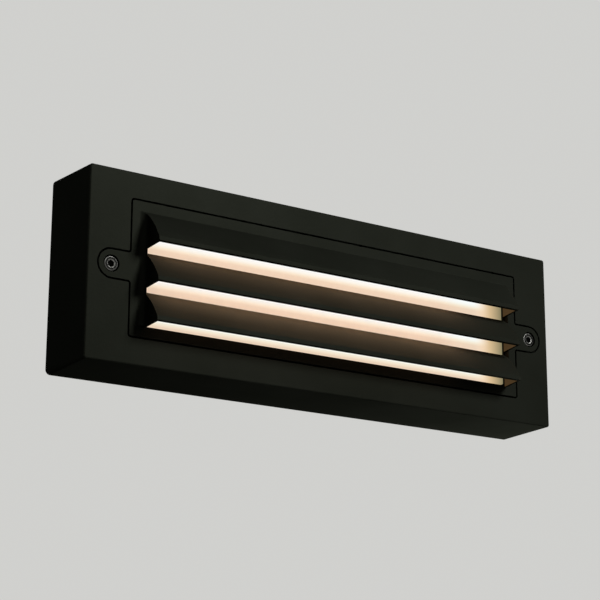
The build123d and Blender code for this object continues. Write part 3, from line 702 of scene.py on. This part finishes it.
def emitter_rings(base, top):
    """Rings from the middle of the domed pool out, up the cup's wall, over the rim and down the outside."""
    shape = rounded_box_radius(CUP_LENGTH, CUP_WIDTH, CUP_ANGLES, CUP_ROUNDING)
    share = np.array([0.3, 0.55, 0.74, 0.8, 0.84, 0.96, 1.0, 1.0])
    level = np.array([top - 0.1, top - 0.13, top - 0.22, top - 0.05, top, top, top - 0.06, base])
    radius = share[:, None] * shape[None]
    x, z = radius * np.cos(CUP_ANGLES), radius * np.sin(CUP_ANGLES)
    return np.stack([x, level[:, None] + 0 * radius, z], axis=-1)


def phosphor_resin():
    """Yellow resin that glows faintly, because the light behind it is on."""
    material = moulded("phosphor_resin", "#E8BE4A", "#F0CB60", grain=0.3, rough=0.25, bump=0.05, ior=1.41)
    shader = next(node for node in material.node_tree.nodes if node.type == "BSDF_PRINCIPLED")
    shader.inputs["Emission Color"].default_value = linear("#FFE2AE")
    shader.inputs["Emission Strength"].default_value = PHOSPHOR_GLOW
    return material


chips_low, chips_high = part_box("led_chips")
cup_rings = emitter_rings(base=-chips_high.y / MM, top=-chips_low.y / MM)
cup_places = even_places("led_chips", CUP_LENGTH, CUP_WIDTH, CUP_COLUMNS, CUP_LINES)
emitters = stack_of_rings("led_cups", cup_rings, cup_places, np.arange(len(cup_rings)) < POOL_ROWS)
emitters.data.materials.append(
    moulded("white_polyamide_cup", "#EDECE6", "#F5F4F0", grain=0.5, rough=0.4, bump=0.03, ior=1.53))
emitters.data.materials.append(phosphor_resin())
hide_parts("led_chips")
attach(emitters, "body")


# %% [markdown]
# The foam strip behind the box seals it to whatever it is screwed to. It is cut from a closed-cell sheet,
# so its edges are slightly rounded and its cut face is full of tiny cells. The strip is a rounded profile
# carried round a rounded rectangle: one parameter runs along the path, the other round the profile.

# %% Wall foam strip
STRIP_WIDTH, STRIP_CORNER, STRIP_ROUNDING = 3.0, 9.0, 5.0
CORNER_STEPS, PROFILE_STEPS = 13, 24


def foam_strip(node, width, corner):
    """Point = corner centre + (corner radius + offset) along the turning normal, at the profile's level."""
    low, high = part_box(node)
    half = np.array([high.x, high.z]) / MM
    turn = np.concatenate([np.linspace(0, pi / 2, CORNER_STEPS) + quarter * pi / 2 for quarter in range(4)])
    centre = np.repeat([(1, 1), (-1, 1), (-1, -1), (1, -1)], CORNER_STEPS, axis=0) * (half - corner)
    normal = np.stack([np.cos(turn), np.sin(turn)], axis=-1)
    around = np.arange(PROFILE_STEPS) * 2 * pi / PROFILE_STEPS
    squared = rounded_box_radius(width, (high.y - low.y) / MM, around, STRIP_ROUNDING)
    offset = squared * np.cos(around) - width / 2
    level = squared * np.sin(around) - (high.y + low.y) / 2 / MM
    across = centre[:, None] + (corner + offset)[None, :, None] * normal[:, None]
    points = np.stack([across[..., 0], -level[None] + 0 * across[..., 0], across[..., 1]], axis=-1)
    index = np.arange(points.shape[0] * points.shape[1]).reshape(points.shape[:2])
    ahead = np.roll(index, -1, axis=0)
    beside = np.roll(index, -1, axis=1)
    both = np.roll(ahead, -1, axis=1)
    quads = np.stack([index, ahead, both, beside], axis=-1).reshape(-1, 4)
    return surface("foam_strip", points * MM, quads.tolist())


def cell_foam():
    """Closed-cell rubber foam: 0.9 mm cells, drawn wider than real so that they show, with painted shade in
    dents.
    """
    material, tree, shader, place = finish("closed_cell_foam", IOR=1.5, Roughness=0.85)
    cells = put(tree, "ShaderNodeTexVoronoi", {"Vector": place, "Scale": per_metre(0.9)})
    depth = cells.outputs["Distance"]
    # Painted shade: each cell is darker towards its dented middle, where the bump sinks.
    tint = put(tree, "ShaderNodeValToRGB", {"Fac": depth}, stops=((0.0, "#161616"), (0.6, "#2A2A29")))
    dent = put(tree, "ShaderNodeBump", {"Height": depth, "Strength": 0.5, "Distance": 0.3 * MM})
    tree.links.new(tint.outputs["Color"], shader.inputs["Base Color"])
    tree.links.new(dent.outputs[0], shader.inputs["Normal"])
    return material


strip = foam_strip("wall_gasket", STRIP_WIDTH, STRIP_CORNER)
strip.data.materials.append(cell_foam())
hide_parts("wall_gasket")
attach(strip, "body")
print("foam strip with", len(strip.data.polygons), "faces")
